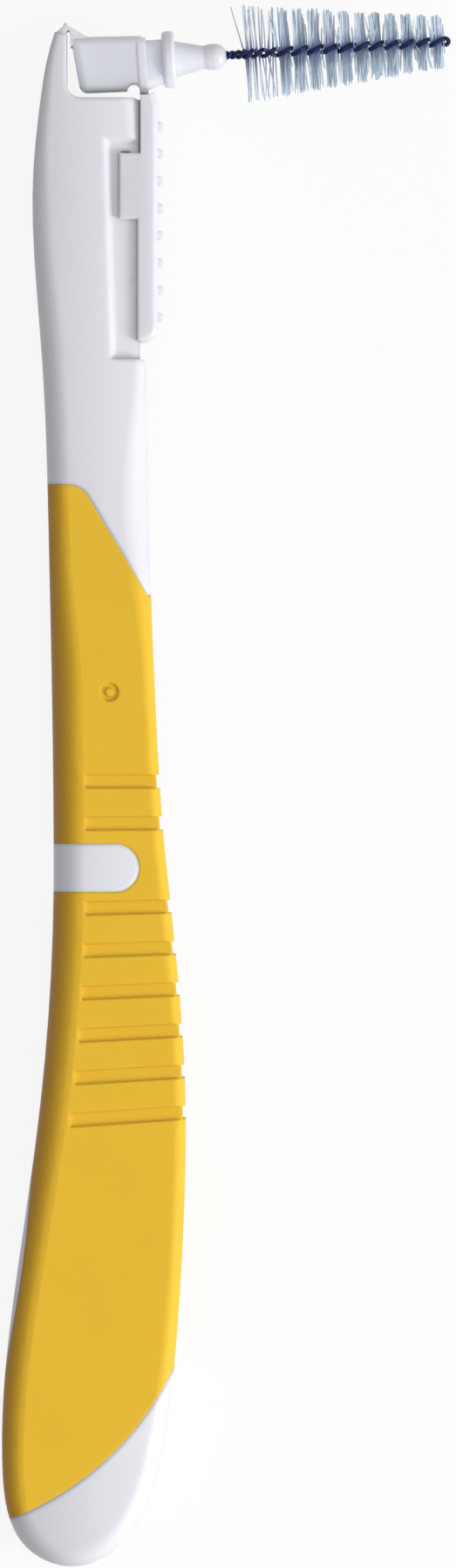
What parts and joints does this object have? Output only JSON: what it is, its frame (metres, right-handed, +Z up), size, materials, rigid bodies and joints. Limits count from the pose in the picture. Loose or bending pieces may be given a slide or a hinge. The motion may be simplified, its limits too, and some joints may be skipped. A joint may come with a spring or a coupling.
{
  "type": "interdental brush",
  "caption": "Long-handled interdental brush: curved handle with a soft ribbed grip, brush head on a living hinge, sliding thumb lock and a tapered twisted-wire brush.",
  "frame": {"origin": "on the lying plane, under the middle of the thumb window in the grip", "axes": "+X from the back of the handle to its front, the way the brush points; +Y along the handle from tail to head; +Z up from the lying side, along the hinge axis"},
  "size_m": [0.0309, 0.1075, 0.0084],
  "materials": {
    "white_plastic": "smooth satin-gloss white moulded plastic",
    "yellow_soft_grip": "soft matt yellow thermoplastic rubber",
    "frosted_plastic": "slightly translucent milky white plastic",
    "blue_wire": "dark blue coated wire",
    "bristle_nylon": "thin pale blue-grey nylon filaments"
  },
  "bodies": {
    "handle": {"handle_core": "white_plastic", "grip_sleeve": "yellow_soft_grip", "hinge_web": "frosted_plastic"},
    "head": {"brush_holder": "frosted_plastic", "twisted_wire": "blue_wire", "bristle_row_01": "bristle_nylon", "bristle_row_02": "bristle_nylon", "bristle_row_03": "bristle_nylon", "bristle_row_04": "bristle_nylon", "bristle_row_05": "bristle_nylon", "bristle_row_06": "bristle_nylon", "bristle_row_07": "bristle_nylon", "bristle_row_08": "bristle_nylon", "bristle_row_09": "bristle_nylon", "bristle_row_10": "bristle_nylon", "bristle_row_11": "bristle_nylon", "bristle_row_12": "bristle_nylon", "bristle_row_13": "bristle_nylon", "bristle_row_14": "bristle_nylon"},
    "lock": {"lock_slide": "frosted_plastic"}
  },
  "joints": [
    {"name": "head_swing", "type": "hinge", "parent": "handle", "child": "head", "pos_m": [-0.003, 0.05781, 0.0042], "axis": [0, 0, 1], "range_deg": [0, 86.4], "deforming": ["hinge_web"]},
    {"name": "lock_slide", "type": "slide", "parent": "handle", "child": "lock", "axis": [0, -1, 0], "range_m": [0, 0.0011]}
  ]
}
